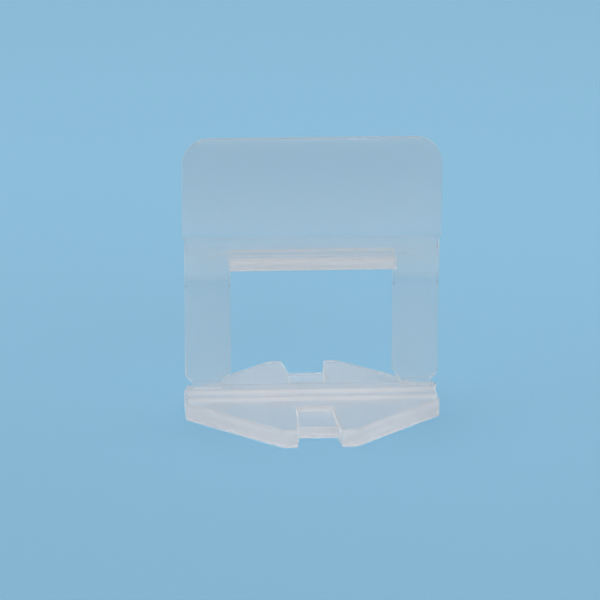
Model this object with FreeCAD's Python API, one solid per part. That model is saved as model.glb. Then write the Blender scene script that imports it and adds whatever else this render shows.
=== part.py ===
import FreeCAD, Part
import math
import os

# Tile leveling clip, moulded in one piece. Millimetres, +Z up.
# X runs along the tile joint, Y runs across it, and Z = 0 is the underside of the base.
# The origin is the centre of the base's footprint.

sunk = 0.5              # how far joined features reach into one another

# Base plate
base_len = 49.0         # along the joint, over the two end flats
base_depth = 46.0       # across the joint, from tip to tip
base_t = 3.3
end_flat = 9.6          # length of the flat at each end of the base
tip_half = 6.9          # half width at each tip
edge_r = 0.6            # rounding of the plate's top edges, in the notch too
corner_r = 1.5          # rounding of the plate's upright corners

# Notch in the front and rear tips, with a lower shelf behind it
notch_in = 5.6          # how far the open notch cuts in from the tip
notch_mouth = 4.2       # half width at the tip
notch_floor = 3.6       # half width at the notch's floor
shelf_in = 14.6         # how far the shelf's back step lies from the tip
shelf_back = 3.4        # half width at the back step
shelf_t = 2.3
notch_r = 0.4           # rounding inside the notch and on the shelf's step

# Ridge that carries the upright, in two steps
ridge_h = 1.6
ridge_foot = 8.8        # front to back, lower step
ridge_top = 4.6         # front to back, upper step
step_h = 0.8            # height of the lower step
step_lean = 0.25        # how far each step's side leans in
ridge_r = 0.3           # rounding along both steps' edges

# Upright: two legs either side of the window, a thick band, and the tab
leg_half = 24.4         # half width over both legs
leg_t = 2.0             # equals the joint width the clip keeps
leg_r = 0.9
window_half = 15.6
window_h = 24.2         # from the ridge's top to the flange's underside

# Break-off necks at the legs' feet
neck_h = 1.3
neck_t = 1.7
neck_blend = 0.5        # height over which the neck's groove runs out
neck_outer = 1.4        # how far the notch cuts in from the leg's outer edge
neck_inner = 1.7        # the same from the window's side
neck_slope_outer = 1.3  # height of the slope above the neck, outer side
neck_slope_inner = 1.9  # the same on the window's side

# Thick band across the upright
band_t = 3.6
band_below = 1.8        # full thickness reaches this far under the window's top
band_run_out = 0.9      # height of the slope down to the legs
band_above = 4.6        # full thickness reaches this far over the window's top
band_step = 0.9         # height of the slope up to the tab
band_r = 1.2            # easing at both ends of each slope

# Flange at the window's top, where a wedge bears, and a low rib that arches over it
flange_in = 0.35        # how far its ends run into the legs
flange_h = 2.2
flange_t = 8.0
flange_r = 0.9          # rounding along its top edges
flange_edge_r = 0.3
rib_past = 5.0          # how far the rib's ends reach past the window's sides
rib_bend = 1.8          # where its straight middle ends, past the window's sides
rib_up = 3.2            # middle's height over the window's top
rib_drop = 1.4          # how far the ends come down from the middle
rib_w = 1.1
rib_proud = 0.25
rib_r = 0.45

# Tab
tab_over = 0.35         # how far its sides stand out past the legs
tab_h = 19.5            # from the top of the band's slope
tab_t = 2.4
tab_corner = 5.2
tab_r = 0.9

flange_half = window_half + flange_in
rib_half = window_half + rib_past
rib_flat = window_half + rib_bend
tab_half = leg_half + tab_over

ridge_z = base_t + ridge_h
window_z = ridge_z + window_h
band_z = window_z + band_above + band_step
tab_z = band_z + tab_h


def face_of(points):
    wire = Part.makePolygon([FreeCAD.Vector(*p) for p in points + points[:1]])
    return Part.Face(wire)


def vertical_edges(shape, keep=lambda x, y: True):
    found = []
    for edge in shape.Edges:
        a = edge.Vertexes[0].Point
        b = edge.Vertexes[-1].Point
        upright = abs(a.x - b.x) < 1e-6 and abs(a.y - b.y) < 1e-6
        if upright and abs(a.z - b.z) > 1e-6 and keep(a.x, a.y):
            found.append(edge)
    return found


def edges_at(shape, height):
    return [e for e in shape.Edges if all(abs(v.Point.z - height) < 1e-6 for v in e.Vertexes)]


def edges_at_y(shape, depth):
    return [e for e in shape.Edges if all(abs(abs(v.Point.y) - depth) < 1e-6 for v in e.Vertexes)]


def notch_side():
    """One side of the flared notch, as (half width, distance from the joint's centre line)."""
    tip = base_depth / 2
    flare = (notch_mouth - notch_floor) / notch_in
    return [
        (shelf_back, tip - shelf_in), (notch_floor, tip - notch_in),
        (notch_mouth, tip), (notch_mouth + flare, tip + 1),
    ]


def plate_outline():
    """Six sided plate with blunt tips, a notch in the front one and one in the rear."""
    a = base_len / 2
    e = end_flat / 2
    tip = base_depth / 2
    floor = tip - notch_in
    front = [
        (-a, -e), (-tip_half, -tip), (-notch_mouth, -tip), (-notch_floor, -floor),
        (notch_floor, -floor), (notch_mouth, -tip), (tip_half, -tip), (a, -e),
    ]
    rear = [(-x, -y) for x, y in front]
    return [(x, y, 0) for x, y in front + rear]


def make_plate():
    plate = face_of(plate_outline()).extrude(FreeCAD.Vector(0, 0, base_t))
    floor = base_depth / 2 - notch_in
    outer = vertical_edges(plate, lambda x, y: abs(y) < floor - 1 or abs(x) > notch_mouth + 0.1)
    plate = plate.makeFillet(corner_r, outer)
    inner = vertical_edges(plate, lambda x, y: abs(y) < floor + 0.1 and abs(x) < notch_mouth)
    plate = plate.makeFillet(notch_r, inner)
    for side in (-1, 1):
        plate = plate.cut(shelf_pocket(side))
    return plate.makeFillet(edge_r, edges_at(plate, base_t))


def shelf_pocket(side):
    """Room above the shelf, from its back step out past the tip."""
    back = base_depth / 2 - shelf_in
    right = [(x, side * y, shelf_t) for x, y in notch_side()]
    left = [(-x, y, z) for x, y, z in reversed(right)]
    pocket = face_of(right + left).extrude(FreeCAD.Vector(0, 0, base_t))
    corners = vertical_edges(pocket, lambda x, y: abs(y) < back + 0.1)
    return pocket.makeFillet(notch_r, corners)


def make_step(width, low, high):
    """One step of the ridge: a bar with leaning sides and rounded top edges."""
    a = base_len / 2 - edge_r
    points = [
        (-a, -width / 2, low - sunk), (-a, -width / 2, low),
        (-a, -width / 2 + step_lean, high), (-a, width / 2 - step_lean, high),
        (-a, width / 2, low), (-a, width / 2, low - sunk),
    ]
    bar = face_of(points).extrude(FreeCAD.Vector(2 * a, 0, 0))
    return bar.makeFillet(ridge_r, edges_at(bar, high))


def make_ridge():
    ledge_z = base_t + step_h
    lower = make_step(ridge_foot, base_t, ledge_z)
    return lower.fuse(make_step(ridge_top, ledge_z, ridge_z))


def upright_profile():
    """Side view of legs, band and the start of the tab, as a face of constant X."""
    thick = window_z - band_below
    low = thick - band_run_out
    front = [
        (-leg_half, -leg_t / 2, ridge_z - sunk), (-leg_half, -leg_t / 2, low),
        (-leg_half, -band_t / 2, thick), (-leg_half, -band_t / 2, window_z + band_above),
        (-leg_half, -tab_t / 2, band_z), (-leg_half, -tab_t / 2, band_z + band_r),
    ]
    rear = [(x, -y, z) for x, y, z in reversed(front)]
    return face_of(front + rear)


def make_upright():
    """Legs and band in one, eased where the thickness changes, with the window cut out."""
    body = upright_profile().extrude(FreeCAD.Vector(2 * leg_half, 0, 0))
    thick = window_z - band_below
    eased = []
    for height in (thick - band_run_out, thick, window_z + band_above, band_z):
        eased += [e for e in edges_at(body, height) if e.Length > leg_half]
    body = body.makeFillet(band_r, eased)
    window = Part.makeBox(
        2 * window_half, 2 * band_t, window_h + 2 * sunk,
        FreeCAD.Vector(-window_half, -band_t, ridge_z - 2 * sunk),
    )
    body = body.cut(window)
    return body.makeFillet(leg_r, side_edges(body, leg_half) + side_edges(body, window_half))


def side_edges(shape, half):
    """Front and rear edges of the faces at X = +half and X = -half."""
    found = []
    for edge in shape.Edges:
        flat = all(abs(abs(v.Point.x) - half) < 1e-6 for v in edge.Vertexes)
        if flat and edge.Length > 1e-3 and abs(edge.CenterOfMass.y) > 0.1 and abs(edge.CenterOfMass.x) > 1:
            found.append(edge)
    return found


def neck_side_cut(edge_x, inward, depth, slope):
    """Notch at a leg's side: upright at the neck, then sloping out to the leg's edge."""
    low = ridge_z
    out = edge_x - inward * 2 * sunk
    points = [
        (out, -leg_t, low), (edge_x + inward * depth, -leg_t, low),
        (edge_x + inward * depth, -leg_t, low + neck_h),
        (edge_x, -leg_t, low + neck_h + slope), (out, -leg_t, low + neck_h + slope),
    ]
    return face_of(points).extrude(FreeCAD.Vector(0, 2 * leg_t, 0))


def neck_face_cut(side):
    """Groove across the leg's face that leaves the thin line where the clip snaps off."""
    low = ridge_z
    points = [
        (-leg_half, side * neck_t / 2, low), (-leg_half, side * neck_t / 2, low + neck_h),
        (-leg_half, side * leg_t / 2, low + neck_h + neck_blend),
        (-leg_half, side * leg_t, low + neck_h + neck_blend),
        (-leg_half, side * leg_t, low),
    ]
    return face_of(points).extrude(FreeCAD.Vector(2 * leg_half, 0, 0))


def cut_necks(upright):
    for side in (-1, 1):
        upright = upright.cut(neck_side_cut(side * leg_half, -side, neck_outer, neck_slope_outer))
        upright = upright.cut(neck_side_cut(side * window_half, side, neck_inner, neck_slope_inner))
        upright = upright.cut(neck_face_cut(side))
    return upright


def make_rib():
    """Low rounded rib on the band's front: straight in the middle, curving down at its ends."""
    face_y = -band_t / 2 - rib_proud
    middle = window_z + rib_up
    run = rib_half - rib_flat
    radius = (run ** 2 + rib_drop ** 2) / (2 * rib_drop)
    turn = math.asin(run / radius) / 2
    left = [
        FreeCAD.Vector(-rib_half, face_y, middle - rib_drop),
        FreeCAD.Vector(-rib_flat - radius * math.sin(turn), face_y, middle - radius * (1 - math.cos(turn))),
        FreeCAD.Vector(-rib_flat, face_y, middle),
    ]
    right = [FreeCAD.Vector(-v.x, v.y, v.z) for v in reversed(left)]
    path = Part.Wire([
        Part.Arc(*left).toShape(), Part.makeLine(left[2], right[0]), Part.Arc(*right).toShape(),
    ])
    outline = path.makeOffset2D(rib_w / 2)
    rib = Part.Face(outline).extrude(FreeCAD.Vector(0, rib_proud + sunk, 0))
    return rib.makeFillet(rib_r, edges_at_y(rib, -face_y))


def make_flange():
    flange = Part.makeBox(
        2 * flange_half, flange_t, flange_h,
        FreeCAD.Vector(-flange_half, -flange_t / 2, window_z),
    )
    top = [e for e in edges_at(flange, window_z + flange_h) if e.Length > flange_t]
    flange = flange.makeFillet(flange_r, top)
    return flange.makeFillet(flange_edge_r, edges_at(flange, window_z))


def make_tab():
    low = band_z
    c = tab_corner
    bow = c * (1 - math.sqrt(0.5))
    y = -tab_t / 2
    left = [
        FreeCAD.Vector(-tab_half, y, tab_z - c),
        FreeCAD.Vector(-tab_half + bow, y, tab_z - bow),
        FreeCAD.Vector(-tab_half + c, y, tab_z),
    ]
    right = [FreeCAD.Vector(-v.x, v.y, v.z) for v in reversed(left)]
    low_left = FreeCAD.Vector(-tab_half, y, low)
    low_right = FreeCAD.Vector(tab_half, y, low)
    wire = Part.Wire([
        Part.makeLine(low_left, left[0]), Part.Arc(*left).toShape(),
        Part.makeLine(left[2], right[0]), Part.Arc(*right).toShape(),
        Part.makeLine(right[2], low_right), Part.makeLine(low_right, low_left),
    ])
    tab = Part.Face(wire).extrude(FreeCAD.Vector(0, tab_t, 0))
    rim = [e for e in edges_at_y(tab, tab_t / 2) if e.CenterOfMass.z > low + 0.1]
    return tab.makeFillet(tab_r, rim)


def make_clip():
    clip = cut_necks(make_upright())
    for piece in (make_rib(), make_tab(), make_flange(), make_ridge(), make_plate()):
        clip = clip.fuse(piece)
    return clip.removeSplitter()


clip = make_clip()
os.makedirs("parts", exist_ok=True)
clip.exportStep("parts/leveling_clip.step")
box = clip.BoundBox
print("solids", len(clip.Solids), "valid", clip.isValid())
print("size", round(box.XLength, 2), round(box.YLength, 2), round(box.ZLength, 2))
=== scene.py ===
# %% [markdown]
# # A tile leveling clip in milky see-through plastic
#
# The clip is moulded in one piece: a notched base that lies under two tiles, an upright with a
# window, and a broad tab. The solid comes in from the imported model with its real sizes, so this
# lesson is about what Blender adds: how a thin milky plastic takes light, the fine marks a mould
# leaves on it, and a studio that shows them.

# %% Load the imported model
import math

import bpy
from mathutils import Matrix, Vector

MM = 0.001   # metres in a millimetre

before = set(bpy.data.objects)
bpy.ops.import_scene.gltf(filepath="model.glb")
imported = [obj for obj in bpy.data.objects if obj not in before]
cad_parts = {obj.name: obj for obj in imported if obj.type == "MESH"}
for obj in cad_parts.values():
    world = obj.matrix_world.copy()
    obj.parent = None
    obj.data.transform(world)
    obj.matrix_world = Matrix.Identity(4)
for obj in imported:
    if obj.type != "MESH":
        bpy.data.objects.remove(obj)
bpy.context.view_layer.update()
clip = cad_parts["leveling_clip"]
print("nodes", sorted(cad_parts))

# %% [markdown]
# ## Helpers for node materials
#
# Every finish here is made of nodes. Two small helpers keep the cells short: one starts a
# material with an empty node tree, and the other adds a node and sets its plain values. A few
# more follow, each where it is first needed.


# %% Node helpers
def new_material(name):
    material = bpy.data.materials.new(name)
    material.use_nodes = True
    material.node_tree.nodes.clear()
    return material, material.node_tree


def add_node(tree, kind, **values):
    node = tree.nodes.new(kind)
    for key, value in values.items():
        if key in node.inputs:
            node.inputs[key].default_value = value
        else:
            setattr(node, key, value)
    return node


# %% [markdown]
# ## A helper for what changes from place to place
#
# No real surface is the same all over. A noise or a height is a number that changes from place
# to place, and a Map Range node turns it into a share or a roughness. It could follow a straight
# line. A smooth step eases in and out, so that no edge shows where a finish begins.


# %% Range helper
def add_range(tree, value, source, target=(0.0, 1.0), kind="SMOOTHSTEP"):
    node = add_node(tree, "ShaderNodeMapRange", interpolation_type=kind)
    names = ("From Min", "From Max", "To Min", "To Max")
    for name, number in zip(names, source + target):
        node.inputs[name].default_value = number
    tree.links.new(value, node.inputs["Value"])
    return node.outputs["Result"]


# %% [markdown]
# ## The skin of the plastic
#
# The mould is polished but not perfectly, so the plastic has a soft gloss: edges catch long mild
# highlights and nothing mirrors. The skin could be a glossy layer on a flat colour. A refracting
# skin is better here, because light has to enter the wall and leave it again. Its roughness
# wanders a little from place to place, a very fine grain breaks up the highlights, and a faint
# sheen softens what is seen at a slant.

# %% Skin
GLOSS_RANGE = (0.16, 0.30)   # roughness where the mould is polished best and least
PATCHES = 220.0              # patches of polish per metre
GRAINS = 1800.0              # grains per metre
GRAIN_HEIGHT = 0.04 * MM


def add_skin(tree, place):
    skin = add_node(tree, "ShaderNodeBsdfPrincipled")
    skin.inputs["Base Color"].default_value = (1.0, 1.0, 1.0, 1.0)
    skin.inputs["IOR"].default_value = 1.49
    skin.inputs["Transmission Weight"].default_value = 1.0
    skin.inputs["Sheen Weight"].default_value = 0.35
    skin.inputs["Sheen Roughness"].default_value = 0.25

    cloud = add_node(tree, "ShaderNodeTexNoise", Scale=PATCHES, Detail=3.0, Roughness=0.55)
    tree.links.new(place, cloud.inputs["Vector"])
    rough = add_range(tree, cloud.outputs["Fac"], (0.0, 1.0), GLOSS_RANGE, "LINEAR")
    tree.links.new(rough, skin.inputs["Roughness"])

    grain = add_node(tree, "ShaderNodeTexNoise", Scale=GRAINS, Detail=2.0)
    bump = add_node(tree, "ShaderNodeBump", Strength=0.12, Distance=GRAIN_HEIGHT)
    tree.links.new(place, grain.inputs["Vector"])
    tree.links.new(grain.outputs["Fac"], bump.inputs["Height"])
    tree.links.new(bump.outputs["Normal"], skin.inputs["Normal"])
    return skin.outputs["BSDF"]


print("patches of polish", round(1 / PATCHES / MM, 1), "mm, grain", round(1 / GRAINS / MM, 2), "mm")

# %% [markdown]
# ## The milk inside it
#
# The plastic is taken as natural polypropylene, which isn't clear and isn't white. Its crystals
# scatter light inside the wall, so a thin leg lets the table's colour through and a thick edge
# looks white. A flat colour with some transparency would make every wall equally pale. A
# scattering volume inside the skin makes each wall paler with its own thickness, as the real
# one is.

# %% Milk
MILKINESS = 220.0   # scattering per metre of plastic


def add_milk(tree):
    milk = add_node(tree, "ShaderNodeVolumeScatter", Density=MILKINESS, Anisotropy=0.3)
    milk.inputs["Color"].default_value = (0.998, 0.999, 1.0, 1.0)
    return milk.outputs["Volume"]


print("light goes about", round(1 / MILKINESS / MM, 1), "mm before a crystal turns it aside")

# %% [markdown]
# ## A clear film for shadow rays
#
# A lamp can't find its way through a refracting skin by itself, so for shadow rays alone the skin
# gives way to a clear film that keeps back a little light. Lamps then reach the milk directly,
# and the sheet under a see-through wall gets a soft pale shadow in place of a black one. The film
# is darker towards the tab's top, or the lamp overhead would pour in at the top edge and draw a
# bright strip there that the real tab doesn't have.

# %% Film
FILM_BELOW = (0.88, 0.87, 0.86, 1.0)
FILM_AT_TOP = (0.20, 0.20, 0.20, 1.0)
FILM_DARKENS = (40.0 * MM, 53.5 * MM)   # heights on the tab


def mix_colors(tree, factor, first, second):
    node = add_node(tree, "ShaderNodeMix", data_type="RGBA")
    tree.links.new(factor, node.inputs["Factor"])
    node.inputs[6].default_value = first
    node.inputs[7].default_value = second
    return node.outputs[2]


def add_film(tree, height):
    film = add_node(tree, "ShaderNodeBsdfTransparent")
    rise = add_range(tree, height, FILM_DARKENS)
    tree.links.new(mix_colors(tree, rise, FILM_BELOW, FILM_AT_TOP), film.inputs["Color"])
    return film.outputs["BSDF"]


print("film darkens between", [round(v / MM, 1) for v in FILM_DARKENS], "mm")

# %% [markdown]
# ## Soft slopes
#
# Where the thick band over the window runs out into thin wall, the real slopes look soft. A
# sharp refracting skin there acts as a prism and draws a hard dark line. The slopes could be
# blended away in the mesh, but the solid stays as the CAD has it, so the finish does it: in two
# narrow belts, one over each slope, most of the skin gives way to a faint clear one.

# %% Belts over the slopes
LOW_SLOPE = (26.6 * MM, 1.8 * MM)    # height of the middle, and reach up and down
HIGH_SLOPE = (34.1 * MM, 2.1 * MM)
SLOPE_EASE = 0.80                    # share of the skin that gives way


def add_maths(tree, operation, *terms):
    node = add_node(tree, "ShaderNodeMath", operation=operation)
    for socket, term in zip(node.inputs, terms):
        if isinstance(term, float):
            socket.default_value = term
        else:
            tree.links.new(term, socket)
    return node.outputs[0]


def add_belt(tree, height, belt, amount):
    middle, reach = belt
    away = add_maths(tree, "ABSOLUTE", add_maths(tree, "SUBTRACT", height, middle))
    return add_range(tree, away, (reach * 0.5, reach), (amount, 0.0))


print("belts at", [round(belt[0] / MM, 1) for belt in (LOW_SLOPE, HIGH_SLOPE)], "mm")

# %% [markdown]
# The belts are only numbers. A Mix Shader node then uses the larger of the two as the share of
# the faint skin, and leaves the real skin as it is everywhere else.


# %% Eased slopes
def mix_shaders(tree, factor, first, second):
    node = add_node(tree, "ShaderNodeMixShader")
    tree.links.new(factor, node.inputs["Fac"])
    tree.links.new(first, node.inputs[1])
    tree.links.new(second, node.inputs[2])
    return node.outputs["Shader"]


def ease_slopes(tree, skin, height):
    low = add_belt(tree, height, LOW_SLOPE, SLOPE_EASE)
    high = add_belt(tree, height, HIGH_SLOPE, SLOPE_EASE)
    faint = add_node(tree, "ShaderNodeBsdfTransparent", Color=(0.985, 0.985, 0.985, 1.0))
    return mix_shaders(tree, add_maths(tree, "MAXIMUM", low, high), skin, faint.outputs["BSDF"])


print("at most", round(SLOPE_EASE * 100), "percent of the skin gives way on the slopes")

# %% [markdown]
# ## Pale rims and a satin flange
#
# Seen edge on, milky plastic is paler, so a haze comes in where the view grazes the wall and
# draws the clip's light outline. The flange over the window shows as an even pale bar, which a
# glossy wall wouldn't give. Its front and rear are therefore taken as satin, as a mould left
# unpolished there makes them, and get a little of the same haze. They are found by their height
# and by how far they stand out in front of the wall or behind it.

# %% Haze
RIM_STARTS = (0.75, 0.95)              # how edge on the wall is seen, from 0 to 1
RIM_HAZE = 0.80
FLANGE = (28.8 * MM, 3.0 * MM)         # height of the middle, and reach
FLANGE_STANDS_OUT = (2.8 * MM, 3.9 * MM)
SATIN_HAZE = 0.16


def add_haze(tree, skin, depth, height):
    rim = add_node(tree, "ShaderNodeLayerWeight", Blend=0.5)
    edge = add_range(tree, rim.outputs["Facing"], RIM_STARTS, (0.0, RIM_HAZE))
    out = add_range(tree, add_maths(tree, "ABSOLUTE", depth), FLANGE_STANDS_OUT)
    satin = add_maths(tree, "MULTIPLY", out, add_belt(tree, height, FLANGE, SATIN_HAZE))
    bloom = add_node(tree, "ShaderNodeBsdfDiffuse", Color=(1.0, 0.965, 0.96, 1.0))
    return mix_shaders(tree, add_maths(tree, "MAXIMUM", edge, satin), skin, bloom.outputs["BSDF"])


print("satin at", round(FLANGE[0] / MM, 1), "mm, from", round(FLANGE_STANDS_OUT[0] / MM, 1), "mm out")

# %% [markdown]
# ## The plastic put together
#
# The layers go on in the order of the real wall: milk inside, the skin over it, its softened
# slopes, and the haze on top. Last comes the choice between this wall, for all that is seen, and
# the film, for shadow rays.


# %% Milky plastic
def add_place(tree):
    place = add_node(tree, "ShaderNodeTexCoord").outputs["Object"]
    split = add_node(tree, "ShaderNodeSeparateXYZ")
    tree.links.new(place, split.inputs["Vector"])
    return place, split.outputs


def make_milky_plastic():
    material, tree = new_material("milky_plastic")
    place, (_, depth, height) = add_place(tree)
    skin = ease_slopes(tree, add_skin(tree, place), height)
    wall = add_haze(tree, skin, depth, height)
    ways = add_node(tree, "ShaderNodeLightPath")
    shown = mix_shaders(tree, ways.outputs["Is Shadow Ray"], wall, add_film(tree, height))
    out = add_node(tree, "ShaderNodeOutputMaterial")
    tree.links.new(shown, out.inputs["Surface"])
    tree.links.new(add_milk(tree), out.inputs["Volume"])
    return material


milky_plastic = make_milky_plastic()
for index in range(len(clip.data.materials)):
    clip.data.materials[index] = milky_plastic
print("plastic on", clip.name, "slots", len(clip.data.materials), "faces", len(clip.data.polygons))

# %% [markdown]
# ## The table
#
# The clip stands on a plain pale blue sheet. The colour matters more than usual, because the
# plastic shows it: the legs and the tab are the sheet's own blue with a little milk over it.
# The sheet's blue is painted a shade deeper close to the front and to the left. This is painted
# shade, standing in for weaker light there, and a broad faint cloud keeps it from being one flat
# colour.

# %% Sheet paint
# Painted shade: the first blue is the sheet painted darker towards the front and the left, where less
# light falls.
SHADED_BLUE = (0.2345, 0.504, 0.716, 1.0)
PALE_BLUE = (0.280, 0.594, 0.842, 1.0)
SHADE_SPAN = (-0.16, 0.20)       # metres from the front to the back of the painted shade
SHADE_TURNED_LEFT = 0.35           # how much of the painted shade turns from left to right
CLOUD_RANGE = (0.97, 1.03)


def make_sheet_paint():
    material, tree = new_material("pale_blue_sheet")
    place, (across, back, _) = add_place(tree)
    # Painted shade: the paint darkens towards the front and the left.
    slant = add_maths(tree, "MULTIPLY_ADD", across, SHADE_TURNED_LEFT, back)
    shaded = mix_colors(tree, add_range(tree, slant, SHADE_SPAN), SHADED_BLUE, PALE_BLUE)
    cloud = add_node(tree, "ShaderNodeTexNoise", Scale=3.0, Detail=2.0)
    tree.links.new(place, cloud.inputs["Vector"])
    shade = add_range(tree, cloud.outputs["Fac"], (0.0, 1.0), CLOUD_RANGE, "LINEAR")
    tint = add_node(tree, "ShaderNodeMix", data_type="RGBA", blend_type="MULTIPLY")
    tint.inputs["Factor"].default_value = 1.0
    tree.links.new(shaded, tint.inputs[6])
    tree.links.new(shade, tint.inputs[7])
    matt = add_node(tree, "ShaderNodeBsdfPrincipled", Roughness=0.75)
    matt.inputs["Specular IOR Level"].default_value = 0.15
    out = add_node(tree, "ShaderNodeOutputMaterial")
    tree.links.new(tint.outputs[2], matt.inputs["Base Color"])
    tree.links.new(matt.outputs["BSDF"], out.inputs["Surface"])
    return material


sheet_paint = make_sheet_paint()
print("paint", sheet_paint.name, "graded over", round(SHADE_SPAN[1] - SHADE_SPAN[0], 2), "m")

# %% [markdown]
# The sheet could be a solid board, but only its top is ever seen, so it is one flat face, wide
# enough to fill every view. It lies a tenth of a millimetre below the base, which keeps the two
# surfaces from being one and the same.

# %% Sheet
SHEET_REACH = 6.0
AIR = 0.1 * MM


def make_sheet(reach, height, paint):
    ends = ((-reach, -reach), (reach, -reach), (reach, reach), (-reach, reach))
    corners = [(across, back, height) for across, back in ends]
    mesh = bpy.data.meshes.new("table_sheet")
    mesh.from_pydata(corners, [], [(0, 1, 2, 3)])
    mesh.materials.append(paint)
    sheet = bpy.data.objects.new("table_sheet", mesh)
    bpy.context.scene.collection.objects.link(sheet)
    return sheet


table_sheet = make_sheet(SHEET_REACH, -AIR, sheet_paint)
print("sheet is", round(table_sheet.dimensions.x, 2), "m wide")

# %% [markdown]
# ## The surround
#
# A pale surround gives an even base of light, as a light tent does. Low down it has the sheet's
# own blue, as a backdrop that sweeps up behind the table has. The base's flat tops mirror that
# blue, and a slope in the plastic bends the view like a prism and shows what lies far behind:
# with a grey surround low down, every slope would turn into a grey line.
#
# The surround isn't aimed at as a lamp is. Its light comes to the clip only by way of the real
# skin and never by way of the film, which is kept for the lamps.

# %% Surround
BACKDROP_BLUE = (0.230, 0.400, 0.520, 1.0)
TENT_WHITE = (0.462, 0.407, 0.367, 1.0)
BACKDROP_ENDS = (0.25, 0.60)   # heights on a dome of radius 1


def make_surround():
    world = bpy.data.worlds.new("studio")
    world.use_nodes = True
    world.cycles.sampling_method = "NONE"
    tree = world.node_tree
    tree.nodes.clear()
    place = add_node(tree, "ShaderNodeTexCoord")
    split = add_node(tree, "ShaderNodeSeparateXYZ")
    tree.links.new(place.outputs["Generated"], split.inputs["Vector"])
    rise = add_range(tree, split.outputs["Z"], BACKDROP_ENDS, kind="LINEAR")
    tent = add_node(tree, "ShaderNodeBackground", Strength=1.0)
    tree.links.new(mix_colors(tree, rise, BACKDROP_BLUE, TENT_WHITE), tent.inputs["Color"])
    out = add_node(tree, "ShaderNodeOutputWorld")
    tree.links.new(tent.outputs["Background"], out.inputs["Surface"])
    bpy.context.scene.world = world
    return world


print("surround", make_surround().name)

# %% [markdown]
# ## Lamps
#
# One broad lamp, a little warm, hangs right overhead. It pours light into the base, whose walls
# are thick, and only grazes the upright, which therefore stays dark enough to see through. A lamp
# low in front whitens the front walls of the base, and a weak one at each side draws light edges.
#
# Blender can find a lamp in two ways at once: by aiming at it, and by meeting it by chance. The
# aimed way goes through the film and the other through the real skin, so the two don't agree.
# Only the aimed way is kept. The lamps' shares then simply add up, and each can be set by itself.


# %% Lamps
LIT_POINT = Vector((0.0, 0.0, 20.0 * MM))


def make_softbox(name, place, size, energy, color):
    lamp = bpy.data.lights.new(name, "AREA")
    lamp.shape = "RECTANGLE"
    lamp.size, lamp.size_y = size
    lamp.energy = energy
    lamp.color = color
    lamp.cycles.use_multiple_importance_sampling = False
    softbox = bpy.data.objects.new(name, lamp)
    softbox.location = place
    aim = LIT_POINT - softbox.location
    softbox.rotation_euler = aim.to_track_quat("-Z", "Y").to_euler()
    bpy.context.scene.collection.objects.link(softbox)
    return softbox


lamps = [
    make_softbox("top_softbox", (-0.2, 0.15, 1.8), (1.8, 1.4), 16.5, (1.0, 0.89, 0.86)),
    make_softbox("front_softbox", (0.25, -1.5, 0.75), (1.6, 1.2), 7.7, (1.0, 0.96, 0.98)),
    make_softbox("left_softbox", (-1.5, 0.1, 0.45), (1.0, 0.7), 1.7, (1.0, 0.96, 0.94)),
    make_softbox("right_softbox", (1.5, 0.1, 0.45), (1.0, 0.7), 1.7, (1.0, 0.96, 0.94)),
]
for lamp in lamps:
    print(lamp.name, round(lamp.data.energy, 1), "W at", [round(v, 2) for v in lamp.location])

# %% [markdown]
# ## Camera
#
# The clip is seen from far off with a long lens, almost square to the tab, turned about four
# degrees and from about sixteen degrees above the table. The place comes from fitting measured
# corners of the clip, so it is written here as numbers.

# %% Camera
EYE = Vector((-0.04373, -0.57052, 0.18182))
AHEAD = Vector((0.06983, 0.96068, -0.26874))
ROLL = math.radians(0.21)


def make_camera():
    data = bpy.data.cameras.new("studio_camera")
    data.sensor_width = 36.0
    data.lens = 185.45
    camera = bpy.data.objects.new("studio_camera", data)
    turn = AHEAD.to_track_quat("-Z", "Y").to_matrix().to_4x4()
    camera.matrix_world = Matrix.Translation(EYE) @ turn @ Matrix.Rotation(ROLL, 4, "Z")
    bpy.context.scene.collection.objects.link(camera)
    bpy.context.scene.camera = camera
    return camera


camera = make_camera()
print("camera", [round(v, 4) for v in camera.location], "lens", round(camera.data.lens, 2))

# %% [markdown]
# ## Render settings that belong to the look
#
# Milk needs light that scatters many times inside the wall, so the volume and the see-through
# skin get more bounces than usual. The colours are left as they are written.

# %% Look settings
scene = bpy.context.scene
scene.view_settings.view_transform = "Standard"
scene.cycles.max_bounces = 32
scene.cycles.transmission_bounces = 32
scene.cycles.volume_bounces = 16
print("volume bounces", scene.cycles.volume_bounces)
